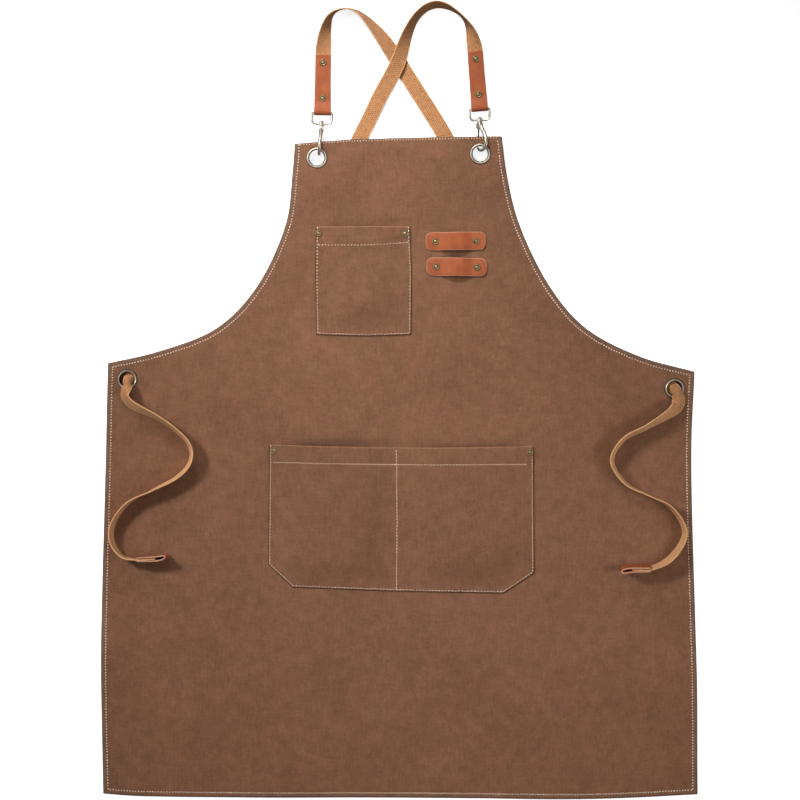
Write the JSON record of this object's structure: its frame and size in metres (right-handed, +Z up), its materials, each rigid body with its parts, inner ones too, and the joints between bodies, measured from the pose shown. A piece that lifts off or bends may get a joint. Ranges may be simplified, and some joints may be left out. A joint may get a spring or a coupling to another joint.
{
  "type": "canvas apron",
  "caption": "Bib apron of brown canvas with patch pockets, leather tool loops, crossed webbing straps with snap hooks, and ties through waist eyelets, laid flat.",
  "frame": {"origin": "centre of the bounding box in X and Y, on the surface that the apron lies on", "axes": "+X to the right of the front as laid, +Y from the hem to the bib and straps, +Z up from the surface, out of the front"},
  "size_m": [0.7155, 0.9571, 0.0264],
  "materials": {
    "canvas": "plain woven brown canvas, matt",
    "leather": "smooth orange-tan leather, soft sheen",
    "webbing": "woven golden-tan cotton webbing, matt",
    "antique_nickel": "dark antique nickel plate, polished high spots",
    "antique_brass": "dark antique brass plate"
  },
  "bodies": {
    "apron": {"body_panel": "canvas", "chest_pocket": "canvas", "waist_pocket": "canvas", "tool_loop_upper": "leather", "tool_loop_lower": "leather", "eyelet_neck_left": "antique_nickel", "eyelet_neck_right": "antique_nickel", "eyelet_waist_left": "antique_nickel", "eyelet_waist_right": "antique_nickel", "rivet_chest_left": "antique_brass", "rivet_chest_right": "antique_brass", "rivet_waist_left": "antique_brass", "rivet_waist_right": "antique_brass", "rivet_loop_upper_left": "antique_brass", "rivet_loop_upper_right": "antique_brass", "rivet_loop_lower_left": "antique_brass", "rivet_loop_lower_right": "antique_brass", "strap_left": "webbing", "strap_tab_left": "leather", "rivet_tab_left_upper": "antique_brass", "rivet_tab_left_lower": "antique_brass", "swivel_eye_left": "antique_nickel", "strap_right": "webbing", "strap_tab_right": "leather", "rivet_tab_right_upper": "antique_brass", "rivet_tab_right_lower": "antique_brass", "swivel_eye_right": "antique_nickel", "tie_tip_left": "leather", "tie_tip_right": "leather"},
    "hook_left": {"snap_hook_left": "antique_nickel"},
    "gate_left": {"snap_gate_left": "antique_nickel"},
    "hook_right": {"snap_hook_right": "antique_nickel"},
    "gate_right": {"snap_gate_right": "antique_nickel"}
  },
  "joints": [
    {"name": "swivel_left", "type": "hinge", "parent": "apron", "child": "hook_left", "pos_m": [-0.09422, 0.33087, 0.00552], "axis": [0.0748, 0.9953, -0.061], "range_deg": [-25, 25]},
    {"name": "gate_left", "type": "hinge", "parent": "hook_left", "child": "gate_left", "pos_m": [-0.09479, 0.32327, 0.00378], "axis": [-0.9972, 0.075, 0], "range_deg": [0, 8], "stiffness_Nm_per_rad": 0.1, "springref_deg": -22.92},
    {"name": "swivel_right", "type": "hinge", "parent": "apron", "child": "hook_right", "pos_m": [0.09551, 0.33543, 0.00552], "axis": [-0.0139, 0.998, -0.061], "range_deg": [-60, 1]},
    {"name": "gate_right", "type": "hinge", "parent": "hook_right", "child": "gate_right", "pos_m": [0.09432, 0.32782, 0.0042], "axis": [-0.8094, 0.0246, 0.5867], "range_deg": [0, 8], "stiffness_Nm_per_rad": 0.1, "springref_deg": -22.92}
  ]
}
